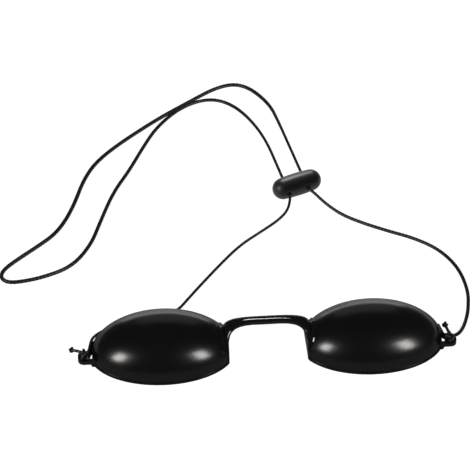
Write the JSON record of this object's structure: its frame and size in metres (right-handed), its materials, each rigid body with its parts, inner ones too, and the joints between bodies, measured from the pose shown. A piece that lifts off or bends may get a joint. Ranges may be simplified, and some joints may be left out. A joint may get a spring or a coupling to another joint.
{
  "type": "tanning goggles",
  "caption": "Opaque eye-cup goggles on a one-piece frame with a nose bridge, slotted cord lugs, an elastic head cord and a sliding cord toggle.",
  "frame": {"origin": "on the rest plane, midway between the two eye cups, at the bottom centre of the goggles without their cord", "axes": "+X along the goggles from the left cup to the right cup as pictured, +Y towards the forehead side, +Z out of the face, the way the domes stand"},
  "size_m": [0.1722, 0.1744, 0.0147],
  "materials": {
    "frame_plastic": "glossy black moulding",
    "cup_plastic": "satin black",
    "toggle_rubber": "smooth dark grey",
    "cord_braid": "fine roped elastic cord"
  },
  "bodies": {
    "goggles": {"frame": "frame_plastic", "left_cup": "cup_plastic", "right_cup": "cup_plastic", "cord_left": "cord_braid", "cord_head_loop": "cord_braid", "cord_right": "cord_braid", "left_knot": "cord_braid", "right_knot": "cord_braid", "left_tail": "cord_braid", "right_tail": "cord_braid", "left_tail_knot": "cord_braid", "right_tail_knot": "cord_braid"},
    "toggle": {"toggle": "toggle_rubber"}
  },
  "joints": [
    {"name": "toggle_slide", "type": "slide", "parent": "goggles", "child": "toggle", "axis": [-0.1771, 0.9842, 0], "range_m": [0, 0.018]}
  ]
}
